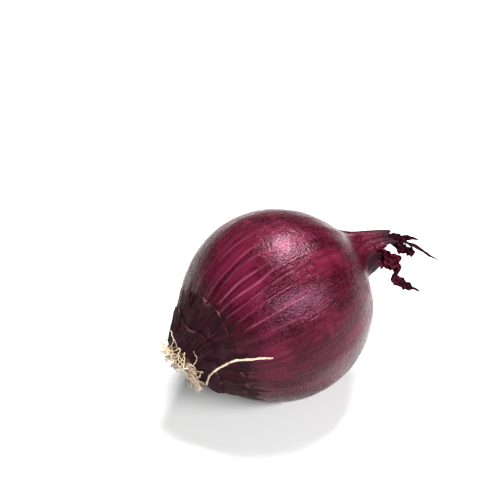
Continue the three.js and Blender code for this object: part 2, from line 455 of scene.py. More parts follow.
class Bench:
    """Lays out the nodes of one shader tree."""

    def __init__(self, tree: bpy.types.NodeTree) -> None:
        """Takes the tree that the nodes go into."""
        self.tree = tree

    def add(self, kind: str, inputs: dict | None = None, **settings: object) -> bpy.types.Node:
        """Adds a node.

        Args:
            kind: the node's type name.
            inputs: values or sockets for the node's inputs, by name or number.
            settings: the node's own settings.

        Returns:
            The new node.
        """
        node = self.tree.nodes.new(kind)
        for key, value in settings.items():
            setattr(node, key, value)
        for key, value in (inputs or {}).items():
            if isinstance(value, bpy.types.NodeSocket):
                self.tree.links.new(value, node.inputs[key])
            else:
                node.inputs[key].default_value = value
        return node

    def noise(
        self, place: object, scale: object, detail: float = 2.0, rough: float = 0.5, bend: float = 0.0
    ) -> bpy.types.NodeSocket:
        """Noise from 0 to 1 at a place, with its scale, detail, roughness and distortion."""
        inputs = {"Vector": place, "Scale": scale, "Detail": detail, "Roughness": rough, "Distortion": bend}
        return self.add("ShaderNodeTexNoise", inputs).outputs["Fac"]

    def math(self, operation: str, a: object, b: object = 0.0, clamp: bool = False) -> bpy.types.NodeSocket:
        """One arithmetic step."""
        return self.add("ShaderNodeMath", {0: a, 1: b}, operation=operation, use_clamp=clamp).outputs[0]

    def remap(self, value: object, low: float, high: float, to: float = 1.0) -> bpy.types.NodeSocket:
        """Eases a value from 0 at low to the value to at high."""
        inputs = {"Value": value, "From Min": low, "From Max": high, "To Min": 0.0, "To Max": to}
        return self.add("ShaderNodeMapRange", inputs, interpolation_type="SMOOTHSTEP").outputs["Result"]

    def mix(self, share: object, a: object, b: object) -> bpy.types.NodeSocket:
        """A colour between two others.

        Args:
            share: how much of the second colour there is, from 0 to 1.
            a: the first colour.
            b: the second colour.

        Returns:
            The mixed colour's socket.
        """
        node = self.add("ShaderNodeMix", data_type="RGBA")
        for key, value in ((0, share), (6, a), (7, b)):
            if isinstance(value, bpy.types.NodeSocket):
                self.tree.links.new(value, node.inputs[key])
            else:
                node.inputs[key].default_value = (*value, 1.0) if isinstance(value, tuple) else value
        return node.outputs[2]

    def attribute(self, name: str, output: str = "Fac") -> bpy.types.NodeSocket:
        """A value that the mesh carries at its points."""
        return self.add("ShaderNodeAttribute", attribute_name=name).outputs[output]

    def scaled(self, vector: object, by: object) -> bpy.types.NodeSocket:
        """A vector with each of its parts multiplied."""
        return self.add("ShaderNodeVectorMath", {0: vector, 1: by}, operation="MULTIPLY").outputs[0]

    def place_in_mm(self) -> bpy.types.NodeSocket:
        """The place on the piece, in mm in the row's frame."""
        place = self.add("ShaderNodeTexCoord").outputs["Object"]
        return self.scaled(place, (1.0 / MM,) * 3)

    def bump(self, height: object, strength: float, distance: float) -> bpy.types.NodeSocket:
        """A normal tilted by a height, with its strength and its depth in metres."""
        inputs = {"Strength": strength, "Distance": distance, "Height": height}
        return self.add("ShaderNodeBump", inputs).outputs["Normal"]


class Effect(Enum):
    """The effects that more than one finish uses, each one shader node group."""

    FIBRES = "fibres"
    CELLS = "cells"
    BLOOM = "bloom"


def effect_tree(effect: Effect, inputs: dict[str, str], outputs: Sequence[str]) -> tuple[Bench, dict, dict]:
    """Makes an empty shader node group.

    Args:
        effect: which effect it is, for its name.
        inputs: each input's name and socket type.
        outputs: the outputs' names, all plain numbers.

    Returns:
        A bench for the group, its input sockets by name, and its output sockets by name.
    """
    tree = bpy.data.node_groups.new(effect.value, "ShaderNodeTree")
    for name, kind in inputs.items():
        tree.interface.new_socket(name, in_out="INPUT", socket_type=kind)
    for name in outputs:
        tree.interface.new_socket(name, in_out="OUTPUT", socket_type="NodeSocketFloat")
    bench = Bench(tree)
    entry, leave = bench.add("NodeGroupInput"), bench.add("NodeGroupOutput")
    return bench, {s.name: s for s in entry.outputs}, {s.name: s for s in leave.inputs}


def make_fibres() -> bpy.types.NodeTree:
    """Streaks that run along the fibres: broad bands, fine lines and a height for bump.

    Returns:
        The node group.
    """
    bench, given, out = effect_tree(
        Effect.FIBRES,
        {"Grain": "NodeSocketVector", "Across": "NodeSocketFloat", "Along": "NodeSocketFloat"},
        ("Bands", "Lines", "Height"),
    )
    stretch = bench.add("ShaderNodeCombineXYZ", {0: given["Across"], 1: given["Across"], 2: given["Along"]})
    place = bench.scaled(given["Grain"], stretch.outputs[0])
    bands = bench.remap(bench.noise(place, 0.35, 3.0, 0.55, 0.3), 0.3, 0.7)
    fine = bench.noise(place, 1.6, 4.0, 0.6, 0.2)
    lines = bench.remap(fine, 0.5, 0.68)
    bench.tree.links.new(bands, out["Bands"])
    bench.tree.links.new(lines, out["Lines"])
    bench.tree.links.new(fine, out["Height"])
    return bench.tree


def make_cells() -> bpy.types.NodeTree:
    """The fine pebbling of a thin skin: cells, scattered dark specks and a height for bump.

    Returns:
        The node group.
    """
    bench, given, out = effect_tree(
        Effect.CELLS,
        {"Place": "NodeSocketVector", "Size": "NodeSocketFloat"},
        ("Cells", "Specks", "Height"),
    )
    scale = bench.math("DIVIDE", 1.0, given["Size"])
    coarse = bench.noise(given["Place"], bench.math("MULTIPLY", scale, 0.45), 3.0, 0.62)
    fine = bench.noise(given["Place"], scale, 2.0, 0.5)
    both = bench.math("ADD", bench.math("MULTIPLY", coarse, 0.6), bench.math("MULTIPLY", fine, 0.4))
    specks = bench.remap(
        bench.noise(given["Place"], bench.math("MULTIPLY", scale, 0.9), 1.0, 0.4), 0.69, 0.78
    )
    bench.tree.links.new(bench.remap(both, 0.36, 0.66), out["Cells"])
    bench.tree.links.new(specks, out["Specks"])
    bench.tree.links.new(both, out["Height"])
    return bench.tree


def make_bloom() -> bpy.types.NodeTree:
    """Broken patches, for dust, bloom and stain, with soft and hard edges mixed.

    Returns:
        The node group.
    """
    bench, given, out = effect_tree(
        Effect.BLOOM,
        {"Place": "NodeSocketVector", "Size": "NodeSocketFloat", "Cover": "NodeSocketFloat"},
        ("Patches",),
    )
    scale = bench.math("DIVIDE", 1.0, given["Size"])
    field_ = bench.noise(given["Place"], scale, 6.0, 0.6, 0.4)
    level = bench.math("SUBTRACT", bench.math("ADD", field_, given["Cover"]), 0.5)
    bench.tree.links.new(bench.remap(level, 0.42, 0.62), out["Patches"])
    return bench.tree


EFFECTS: dict[Effect, Callable[[], bpy.types.NodeTree]] = {
    Effect.FIBRES: make_fibres,
    Effect.CELLS: make_cells,
    Effect.BLOOM: make_bloom,
}


@dataclass(frozen=True)
class Finish:
    """One material: a Principled shader whose colour, roughness and bump come from nodes."""

    name: str
    sheen: float = 0.0
    specular: float = 0.5
    ior: float = 1.5
    shine: Colour = (1.0, 1.0, 1.0)

    def effect(self, bench: Bench, effect: Effect, **inputs: object) -> dict[str, bpy.types.NodeSocket]:
        """Places a shared effect in the material.

        Args:
            bench: the material's bench.
            effect: which effect.
            inputs: values or sockets for the group's inputs.

        Returns:
            The effect's output sockets by name.
        """
        tree = bpy.data.node_groups.get(effect.value) or EFFECTS[effect]()
        node = bench.add("ShaderNodeGroup", node_tree=tree)
        for key, value in inputs.items():
            if isinstance(value, bpy.types.NodeSocket):
                bench.tree.links.new(value, node.inputs[key])
            else:
                node.inputs[key].default_value = value
        return {s.name: s for s in node.outputs}

    def colour_and_relief(self, bench: Bench) -> tuple[object, object, object]:
        """Lays the nodes of this finish and gives its colour, roughness and normal. Each finish has
        its own."""
        raise NotImplementedError

    def material(self) -> bpy.types.Material:
        """Makes the material once and hands it out again afterwards.

        Returns:
            The material.
        """
        made = bpy.data.materials.get(self.name)
        if made:
            return made
        made = bpy.data.materials.new(self.name)
        made.use_nodes = True
        bench = Bench(made.node_tree)
        shader = made.node_tree.nodes["Principled BSDF"]
        colour, roughness, normal = self.colour_and_relief(bench)
        for key, socket in (("Base Color", colour), ("Roughness", roughness), ("Normal", normal)):
            made.node_tree.links.new(socket, shader.inputs[key])
        shader.inputs["Specular IOR Level"].default_value = self.specular
        shader.inputs["IOR"].default_value = self.ior
        shader.inputs["Specular Tint"].default_value = (*self.shine, 1.0)
        shader.inputs["Sheen Weight"].default_value = self.sheen
        return made


@dataclass(frozen=True)
class SatinSkin(Finish):
    """The fresh outer skin: magenta with pale veins, partly a painted highlight, darker towards the roots,
    satin and finely pebbled.
    """

    name: str = "satin_skin"
    specular: float = 0.9
    ior: float = 1.20
    shine: Colour = (1.0, 0.45, 0.66)
    deep: Colour = (0.009, 0.0004, 0.0018)
    middle: Colour = (0.025, 0.0009, 0.0048)
    bright: Colour = (0.068, 0.005, 0.017)
    # Pale veins, partly a painted highlight on their raised ribs.
    vein: Colour = (0.18, 0.038, 0.076)
    # Near black: older skin at the root end, with painted shadow under the torn skin, and painted shade under
    # the neck and inside its mouth.
    dark_old_skin_and_shade: Colour = (0.007, 0.0012, 0.0024)
    speck: Colour = (0.022, 0.002, 0.007)
    cell_size: float = 0.9
    cloud_size: float = 16.0
    cloud_cover: float = 0.75
    line_cover: float = 0.30
    cell_cover: float = 0.28
    speck_cover: float = 0.5
    smoothest: float = 0.17
    worn_roughness: float = 0.45

    def colour_and_relief(self, bench: Bench) -> tuple[object, object, object]:
        """Veins, partly a painted highlight, and streaks along the fibres over a mottled ground, darkened at
        the root end for older skin and painted shadow, and under the neck for painted shade.

        Args:
            bench: the material's bench.

        Returns:
            Colour, roughness and normal sockets.
        """
        place = bench.place_in_mm()
        fibres = self.effect(
            bench, Effect.FIBRES, Grain=bench.attribute("grain", "Vector"), Across=1.0, Along=0.05
        )
        cells = self.effect(bench, Effect.CELLS, Place=place, Size=self.cell_size)
        clouds = self.effect(bench, Effect.BLOOM, Place=place, Size=self.cloud_size, Cover=0.5)
        vein = bench.attribute("vein")
        age = bench.attribute("age")
        ground = bench.mix(fibres["Bands"], self.deep, self.middle)
        streaked = bench.math("MULTIPLY", clouds["Patches"], bench.math("ADD", fibres["Bands"], 0.30))
        ground = bench.mix(bench.math("MULTIPLY", streaked, self.cloud_cover), ground, self.bright)
        ground = bench.mix(bench.math("MULTIPLY", fibres["Lines"], self.line_cover), ground, self.bright)
        ground = bench.mix(bench.math("MULTIPLY", cells["Cells"], self.cell_cover), ground, self.bright)
        ground = bench.mix(bench.math("MULTIPLY", cells["Specks"], self.speck_cover), ground, self.speck)
        # Pale veins: the skin's own, partly a painted highlight where their raised ribs catch the light.
        pale_vein_and_highlight = bench.math("MULTIPLY", vein, bench.remap(fibres["Height"], 0.30, 0.62), clamp=True)
        ground = bench.mix(pale_vein_and_highlight, ground, self.vein)
        # Near black in blotches where the mesh marks older skin and painted shade: the root end, the
        # underside of the neck and the inside of its mouth.
        blotches = self.effect(
            bench, Effect.BLOOM, Place=place, Size=5.0, Cover=bench.math("MULTIPLY", age, 0.9)
        )
        old_skin_and_shade_share = bench.math("MULTIPLY", age, bench.math("ADD", blotches["Patches"], 0.55), clamp=True)
        colour = bench.mix(old_skin_and_shade_share, ground, self.dark_old_skin_and_shade)
        gloss = bench.math("ADD", bench.math("MULTIPLY", cells["Cells"], 0.16), self.smoothest)
        rough = bench.math("ADD", gloss, bench.math("MULTIPLY", old_skin_and_shade_share, self.worn_roughness))
        height = bench.math("ADD", cells["Height"], bench.math("MULTIPLY", fibres["Height"], 0.35))
        return colour, rough, bench.bump(height, 0.9, 0.0004)


@dataclass(frozen=True)
class DrySkin(Finish):
    """The torn older skin round the root end: matt, purple brown, cracked and dusty."""

    name: str = "torn_dry_skin"
    specular: float = 0.25
    ior: float = 1.25
    shine: Colour = (1.0, 0.7, 0.8)
    deep: Colour = (0.005, 0.001, 0.002)
    middle: Colour = (0.020, 0.004, 0.008)
    bright: Colour = (0.062, 0.008, 0.019)
    dust: Colour = (0.040, 0.017, 0.022)
    # Paler torn edge: a painted highlight where the lifted edge catches the light.
    edge: Colour = (0.110, 0.045, 0.058)

    def colour_and_relief(self, bench: Bench) -> tuple[object, object, object]:
        """Dark fibres, dust in patches and a paler torn edge, painted as a highlight.

        Args:
            bench: the material's bench.

        Returns:
            Colour, roughness and normal sockets.
        """
        place = bench.place_in_mm()
        fibres = self.effect(
            bench, Effect.FIBRES, Grain=bench.attribute("grain", "Vector"), Across=1.6, Along=0.14
        )
        cells = self.effect(bench, Effect.CELLS, Place=place, Size=0.8)
        dusty = self.effect(bench, Effect.BLOOM, Place=place, Size=6.0, Cover=0.46)
        ground = bench.mix(fibres["Bands"], self.deep, self.middle)
        ground = bench.mix(bench.math("MULTIPLY", fibres["Lines"], 0.5), ground, self.bright)
        ground = bench.mix(bench.math("MULTIPLY", dusty["Patches"], 0.34), ground, self.dust)
        ground = bench.mix(bench.math("MULTIPLY", cells["Specks"], 0.7), ground, self.deep)
        # Painted highlight along the lifted torn edge, in patches.
        torn = bench.math("MULTIPLY", bench.attribute("edge"), bench.remap(dusty["Patches"], 0.2, 0.9))
        colour = bench.mix(torn, ground, self.edge)
        rough = bench.math("ADD", bench.math("MULTIPLY", cells["Cells"], 0.15), 0.52)
        height = bench.math("ADD", fibres["Height"], bench.math("MULTIPLY", cells["Height"], 0.5))
        return colour, rough, bench.bump(height, 0.8, 0.0003)


@dataclass(frozen=True)
class DryLeaf(Finish):
    """Shrivelled leaf ends: papery, dark magenta brown, paler where they are thin."""

    name: str = "papery_leaf"
    specular: float = 0.06
    shine: Colour = (1.0, 0.5, 0.65)
    deep: Colour = (0.004, 0.0008, 0.0014)
    middle: Colour = (0.016, 0.002, 0.005)
    bright: Colour = (0.115, 0.010, 0.030)

    def colour_and_relief(self, bench: Bench) -> tuple[object, object, object]:
        """Streaks along the leaf with magenta breaking through.

        Args:
            bench: the material's bench.

        Returns:
            Colour, roughness and normal sockets.
        """
        place = bench.place_in_mm()
        fibres = self.effect(
            bench, Effect.FIBRES, Grain=bench.attribute("grain", "Vector"), Across=2.2, Along=0.35
        )
        patches = self.effect(bench, Effect.BLOOM, Place=place, Size=2.6, Cover=bench.attribute("fresh"))
        ground = bench.mix(fibres["Bands"], self.deep, self.middle)
        ground = bench.mix(bench.math("MULTIPLY", patches["Patches"], 0.8), ground, self.bright)
        colour = bench.mix(bench.math("MULTIPLY", fibres["Lines"], 0.4), ground, self.bright)
        rough = bench.math("ADD", bench.math("MULTIPLY", fibres["Height"], 0.25), 0.38)
        return colour, rough, bench.bump(fibres["Height"], 0.8, 0.0003)


@dataclass(frozen=True)
class RootFibre(Finish):
    """Dried roots: straw coloured, ridged along their length, browner where they join the plate."""

    name: str = "dried_root"
    specular: float = 0.2
    deep: Colour = (0.08, 0.035, 0.02)
    middle: Colour = (0.42, 0.31, 0.20)
    bright: Colour = (0.66, 0.54, 0.39)

    def colour_and_relief(self, bench: Bench) -> tuple[object, object, object]:
        """Pale ridges over straw, with dark blotches, and darker near the plate.

        Args:
            bench: the material's bench.

        Returns:
            Colour, roughness and normal sockets.
        """
        place = bench.place_in_mm()
        fibres = self.effect(
            bench, Effect.FIBRES, Grain=bench.attribute("grain", "Vector"), Across=2.5, Along=0.6
        )
        blotches = self.effect(bench, Effect.BLOOM, Place=place, Size=2.2, Cover=0.42)
        ground = bench.mix(fibres["Bands"], self.middle, self.bright)
        ground = bench.mix(bench.math("MULTIPLY", blotches["Patches"], 0.5), ground, self.deep)
        colour = bench.mix(bench.attribute("age"), ground, self.deep)
        rough = bench.math("ADD", bench.math("MULTIPLY", fibres["Height"], 0.2), 0.5)
        return colour, rough, bench.bump(fibres["Height"], 0.9, 0.0003)


@dataclass(frozen=True)
class RootCork(Finish):
    """The root plate: pitted tan cork, dark in its hollows."""

    name: str = "corky_tan"
    specular: float = 0.1
    deep: Colour = (0.010, 0.005, 0.004)
    middle: Colour = (0.045, 0.020, 0.014)
    bright: Colour = (0.16, 0.09, 0.05)

    def colour_and_relief(self, bench: Bench) -> tuple[object, object, object]:
        """Tan patches on brown, with near black pits.

        Args:
            bench: the material's bench.

        Returns:
            Colour, roughness and normal sockets.
        """
        place = bench.place_in_mm()
        cells = self.effect(bench, Effect.CELLS, Place=place, Size=0.7)
        patches = self.effect(bench, Effect.BLOOM, Place=place, Size=2.5, Cover=0.5)
        ground = bench.mix(patches["Patches"], self.middle, self.bright)
        ground = bench.mix(bench.attribute("age"), ground, self.deep)
        colour = bench.mix(bench.math("MULTIPLY", cells["Specks"], 0.8), ground, self.deep)
        rough = bench.math("ADD", bench.math("MULTIPLY", cells["Cells"], 0.1), 0.78)
        return colour, rough, bench.bump(cells["Height"], 0.9, 0.0005)


def dress(piece: bpy.types.Object, finish: Finish, nodes: Sequence[str]) -> None:
    """Gives a piece its finish and its place in the frame.

    Args:
        piece: the new piece.
        finish: its finish.
        nodes: the CAD nodes that it stands for.
    """
    piece.data.materials.append(finish.material())
    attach(piece, BODY)
    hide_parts(*nodes)
    triangles = sum(len(p.vertices) - 2 for p in piece.data.polygons)
    log.info("%s: %d triangles, for %s", piece.name, triangles, ", ".join(nodes))


# ---- The bulb ----


@dataclass(frozen=True)
class Vein:
    """One raised pale vein: its angle, where it starts and fades along the axis, and how strong it is."""

    angle: float
    start: float
    end: float
    strength: float = 1.0


@dataclass
class Bulb:
    """The whole bulb with its skin, its pleated neck and its torn mouth."""

    form: OnionForm
    columns: int = 480
    cone_rows: int = 22
    ball_rows: int = 112
    neck_rows: int = 36
    mouth_rows: int = 12
    rib_height: float = 0.16 * MM
    lump_height: float = 0.30 * MM
    vein_height: float = 0.11 * MM
    pleat_depth: float = 0.85 * MM
    wall: float = 0.35 * MM
    mouth_floor: float = 1.15
    long_lip: float = 1.45
    short_lip: float = 1.22
    lip_split: float = math.radians(150.0)
    lip_end: float = math.radians(315.0)
    floor_softness: float = 0.3 * MM
    bulge: float = 2.2 * MM
    bulge_side: float = math.radians(215.0)
    seed: int = 11
    # These strong pale veins lie on the side that the light falls on; their paleness is partly a painted
    # highlight.
    veins: tuple[Vein, ...] = (
        Vein(math.radians(99.0), -0.80, 0.05, 0.9),
        Vein(math.radians(104.0), -0.62, 0.25, 0.5),
        Vein(math.radians(111.5), -0.78, 0.00, 1.0),
        Vein(math.radians(117.5), -0.86, 0.15, 1.0),
        Vein(math.radians(124.0), -0.88, 0.35, 0.8),
        Vein(math.radians(131.0), -0.70, 0.10, 0.5),
        Vein(math.radians(140.0), -0.66, 0.45, 0.7),
        Vein(math.radians(149.0), -0.74, 0.30, 0.45),
    )

    def all_veins(self) -> list[Vein]:
        """The veins that are placed one by one, with fainter ones drawn round the rest of the bulb.

        Returns:
            Every vein.
        """
        rng = np.random.default_rng(self.seed)
        drawn = []
        for angle in np.arange(0.0, 360.0, 7.5):
            at = math.radians(angle + rng.uniform(-2.5, 2.5))
            start, end = rng.uniform(-0.95, -0.5), rng.uniform(-0.1, 0.8)
            # Drawn veins on the lower front side, turned from the light, are made fainter: painted shade.
            strength = rng.uniform(0.15, 0.5) * (0.35 if 150.0 < angle < 260.0 else 1.0)
            if all(abs(turn_between(at, v.angle)) > math.radians(4.0) for v in self.veins):
                drawn.append(Vein(at, start, end, strength))
        return [*self.veins, *drawn]

    def vein_cover(self, share: np.ndarray, angle: np.ndarray) -> np.ndarray:
        """How strongly veins show at each place, from 0 to 1.

        Args:
            share: places along the axis.
            angle: angles round the axis.

        Returns:
            The cover at each place.
        """
        cover = np.zeros(np.broadcast(share, angle).shape)
        for number, vein in enumerate(self.all_veins()):
            sway = 0.012 * np.sin(5.0 * share + number) + 0.006 * np.sin(13.0 * share + 2.0 * number)
            away = np.abs(turn_between(angle, vein.angle) - sway) * np.maximum(self.form.profile(share), 0.1)
            line = bell(away, 0.0125 + 0.004 * math.sin(number))
            run = smoothstep(share, vein.start, vein.start + 0.12) * (
                1.0 - smoothstep(share, vein.end - 0.45, vein.end)
            )
            cover = np.maximum(cover, line * run * vein.strength)
        return cover

    def lip(self, angle: np.ndarray) -> np.ndarray:
        """Where the torn neck ends at each angle: a long flap on top and a short one below.

        Args:
            angle: angles round the axis.

        Returns:
            The lip's share along the axis at each angle.
        """
        turned = (angle - self.lip_split) % (2.0 * math.pi)
        span = (self.lip_end - self.lip_split) % (2.0 * math.pi)
        short = smoothstep(turned, 0.0, 0.10) * (1.0 - smoothstep(turned, span - 0.3, span))
        ragged = 0.030 * Ripples(3, 5, 30, 0.5)(angle)
        return self.long_lip + (self.short_lip - self.long_lip) * short + ragged

    def relief(self, share: np.ndarray, angle: np.ndarray) -> np.ndarray:
        """Height of the skin above the smooth form, in metres.

        Args:
            share: places along the axis.
            angle: angles round the axis.

        Returns:
            The height at each place.
        """
        smooth = self.form.surface(share, angle)
        ends = smoothstep(np.abs(share), 0.3, 0.95)
        ribs = Ripples(self.seed, 7, 22)(angle) * self.rib_height * (0.5 + 0.9 * ends)
        broad = lumps(smooth, 17.0 * MM, 3.1, 2) * self.lump_height
        stretched = smooth * np.array([0.35, 1.0, 1.0])
        fine = lumps(stretched, 4.5 * MM, 7.7, 2) * 0.055 * MM
        veins = self.vein_cover(share, angle) * self.vein_height
        pleats = -np.abs(Ripples(23, 6, 13, 0.3)(angle + 0.35 * share)) + 0.5
        depth = self.pleat_depth * smoothstep(share, 0.78, 1.25)
        calm = 1.0 - smoothstep(share, 0.95, 1.2)
        below = np.cos(angle - self.bulge_side)
        lip = np.maximum(below, 0.0) ** 1.5 * smoothstep(share, 0.95, 1.12) * self.bulge
        return (ribs + broad + veins) * calm + fine + pleats * depth + lip

    def age(self, share: np.ndarray, angle: np.ndarray) -> np.ndarray:
        """How dark the skin is at each place, from 0 to 1: near black at the root end for its older skin and
        as a painted shadow in the slits of the torn skin over it, painted shade over dark dry skin under the
        neck, and dry lip ends.

        Args:
            share: places along the axis.
            angle: angles round the axis.

        Returns:
            The age at each place.
        """
        smooth = self.form.surface(share, angle)
        along_fibres = self.form.grain(0.16 * share, angle) * MM
        wander = 0.16 * lumps(along_fibres, 3.2 * MM, 5.0, 3) + 0.05 * lumps(smooth, 8.0 * MM, 2.0)
        toward = np.cos(angle - math.radians(195.0))
        # Root end: older, darker skin, made near black so that the slits and gaps in the torn skin over it
        # show a painted shadow.
        root = 1.0 - smoothstep(share + 0.8 * wander - 0.08 * toward, -1.02, -0.46)
        # Under the neck: painted shade, over skin that is dark and dry there.
        below = np.abs(turn_between(angle, math.radians(232.0)))
        neck = smoothstep(share + wander * 0.5, 0.93, 1.04) * (1.0 - smoothstep(below, 1.0, 1.6))
        tips = smoothstep(share + wander * 0.4, 1.26, 1.36)
        return np.clip(np.maximum.reduce([root, 0.95 * neck, 0.9 * tips]), 0.0, 1.0)

    def outside(self) -> tuple[np.ndarray, np.ndarray]:
        """The shares and angles of the outer skin's grid, from the root end to the torn lip.

        Returns:
            Shares and angles, each as rows and columns.
        """
        angle = np.linspace(-math.pi, math.pi, self.columns, endpoint=False)[None, :]
        form = self.form
        cone = np.linspace(form.root_end, form.cone_start, self.cone_rows, endpoint=False)
        ball = np.sin(
            np.linspace(math.asin(form.cone_start), math.asin(form.shoulder), self.ball_rows, endpoint=False)
        )
        fixed = np.concatenate([cone, ball])[:, None] + 0.0 * angle
        along = np.linspace(0.0, 1.0, self.neck_rows)[:, None]
        neck = form.shoulder + (self.lip(angle) - form.shoulder) * along
        share = np.vstack([fixed, neck])
        return share, np.broadcast_to(angle, share.shape)

    def build(self) -> bpy.types.Object:
        """Builds the bulb's mesh.

        Returns:
            The new piece.
        """
        form = self.form
        share, angle = self.outside()
        height = self.relief(share, angle)
        skin = form.surface(share, angle, height)
        inward = np.linspace(0.0, 1.0, self.mouth_rows)[1:, None]
        inner_share = share[-1:] + (self.mouth_floor - share[-1:]) * inward
        inner_angle = np.broadcast_to(angle[-1:], inner_share.shape)
        pleated = self.relief(inner_share, inner_angle) - self.wall * (1.0 + 5.0 * inward**3)
        mouth = form.surface(inner_share, inner_angle, pleated)
        tip = form.surface(np.full((1, 1), form.root_end), angle[:1], -form.radius * 0.12)
        points = settle(form.stand(np.vstack([tip, skin, mouth])), self.floor_softness)
        all_shares = np.vstack([np.full((1, self.columns), form.root_end), share, inner_share])
        all_angles = np.vstack([angle[:1], angle, inner_angle])
        sheaf = Sheaf()
        # The hidden tip under the plate and the whole inside of the mouth are fully darkened; inside the
        # mouth this is painted shade in the hollow.
        age = np.vstack([np.ones((1, self.columns)), self.age(share, angle), np.ones(inner_share.shape)])
        vein = np.vstack(
            [np.zeros((1, self.columns)), self.vein_cover(share, angle), np.zeros(inner_share.shape)]
        )
        sheaf.add_grid(points, capped=True, age=age, vein=vein, grain=form.grain(all_shares, all_angles))
        return sheaf.piece("onion_bulb")


# ---- Torn dry skin ----


@dataclass
class TornSkin:
    """A thin torn shell of older skin round the root end, whose ragged edge stands off the bulb."""

    form: OnionForm
    name: str
    node: str
    start: float
    edge: float
    lean: float
    lean_angle: float
    ragged: float
    lift: float
    edge_lift: float
    wrinkle: float
    seed: int
    columns: int = 512
    rows: int = 40
    thickness: float = 0.13 * MM
    deepest_tear: float = 0.10
    tear_spacing: float = 0.6
    slits: tuple[tuple[float, float, float], ...] = ()

    def torn_edge(self, angle: np.ndarray) -> np.ndarray:
        """Where the shell ends at each angle: a wandering, tattered edge with long tears.

        Args:
            angle: angles round the axis.

        Returns:
            The edge's share along the axis at each angle.
        """
        wide = Ripples(self.seed, 2, 6, 0.4)(angle)
        tatter = np.abs(Ripples(self.seed + 1, 17, 60, 0.5)(angle))
        edge = self.edge + self.lean * np.cos(angle - self.lean_angle) + self.ragged * (wide - 0.35 * tatter)
        rng = np.random.default_rng(self.seed + 7)
        for at in np.arange(0.0, 2.0 * math.pi, self.tear_spacing):
            away = turn_between(angle, at + rng.uniform(-0.2, 0.2))
            wide_tear, deep_tear = rng.uniform(0.02, 0.055), rng.uniform(0.02, self.deepest_tear)
            edge = edge - deep_tear * np.maximum(0.0, 1.0 - np.abs(away) / wide_tear) ** 0.8
        for at, width, reach in self.slits:
            narrow = np.maximum(0.0, 1.0 - np.abs(turn_between(angle, at)) / width) ** 0.7
            edge = edge + np.minimum(reach - edge, 0.0) * narrow
        return np.maximum(edge, self.start + 0.02)

    def build(self) -> bpy.types.Object:
        """Builds the shell's mesh, closed all round.

        Returns:
            The new piece.
        """
        form = self.form
        angle = np.linspace(-math.pi, math.pi, self.columns, endpoint=False)[None, :]
        out = np.linspace(0.0, 1.0, self.rows)[:, None]
        share = self.start + (self.torn_edge(angle) - self.start) * out
        angles = np.broadcast_to(angle, share.shape)
        smooth = form.surface(share, angles)
        turned = share + 0.25 * lumps(smooth, 6.0 * MM, self.seed + 0.9)
        crease = 0.5 - np.abs(Ripples(self.seed + 2, 14, 46, 0.3)(angles + 0.4 * turned))
        crumple = lumps(smooth, 5.0 * MM, self.seed * 1.3, 3)
        curl = smoothstep(out, 0.72, 1.0) * self.edge_lift * (
            0.55 + 0.9 * lumps(smooth, 7.0 * MM, self.seed + 0.5)
        )
        height = self.lift + self.wrinkle * (crease + 0.8 * crumple) + np.maximum(curl, 0.0)
        height = np.maximum(height, self.lift * 0.4)
        outer = form.surface(share, angles, height)
        inner = form.surface(share, angles, height - self.thickness)
        points = settle(form.stand(np.vstack([outer, inner[::-1]])), 0.3 * MM)
        # Marks the torn edge for its painted highlight.
        edge = smoothstep(out, 0.90, 1.0) + 0.0 * share
        grain = form.grain(share, angles)
        sheaf = Sheaf()
        sheaf.add_grid(
            points, close_rows=True, edge=np.vstack([edge, edge[::-1]]), grain=np.vstack([grain, grain[::-1]])
        )
        return sheaf.piece(self.name)


# ---- Roots ----


@dataclass
class RootPlate:
    """The corky plate that the roots grew from, pitted, with a lumpy rim."""

    form: OnionForm
    columns: int = 96
    rows: int = 40
    lump: float = 0.5 * MM
    depth: float = 2.2 * MM

    def build(self) -> bpy.types.Object:
        """Builds the plate inside the box of its CAD node.

        Returns:
            The new piece.
        """
        low, high = (self.form.lie(np.array(corner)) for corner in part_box("root_plate"))
        radius = (high[1] - low[1]) / 2
        back = self.form.radius * self.form.root_end
        angle = np.linspace(-math.pi, math.pi, self.columns, endpoint=False)[None, :]
        t = np.linspace(0.02, 1.0, self.rows)[:, None]
        face = t < 0.8
        spread = np.where(face, t / 0.8, 1.0) * radius
        rise = np.where(face, self.depth * (1.0 - 0.45 * (t / 0.8) ** 2), self.depth * 0.55 * (1.0 - t) / 0.2)
        x = -rise + back + self.form.radius * self.form.push(angle, spread / radius)
        place = np.stack([x, spread * np.cos(angle), spread * np.sin(angle)], axis=-1)
        pits = lumps(place, 2.0 * MM, 8.0, 3)
        wavy = spread * (1.0 + 0.05 * Ripples(5, 4, 16)(angle) * t)
        place = np.stack(
            [x + self.lump * pits * (1.0 - t**4), wavy * np.cos(angle), wavy * np.sin(angle)], axis=-1
        )
        hollow = np.clip(0.35 - pits, 0.0, 1.0)
        grain = np.stack(np.broadcast_arrays(place[..., 0], place[..., 1], place[..., 2]), axis=-1) / MM
        sheaf = Sheaf()
        sheaf.add_grid(self.form.stand(place)[::-1], capped=True, age=hollow[::-1], grain=grain[::-1])
        return sheaf.piece("corky_root_plate")


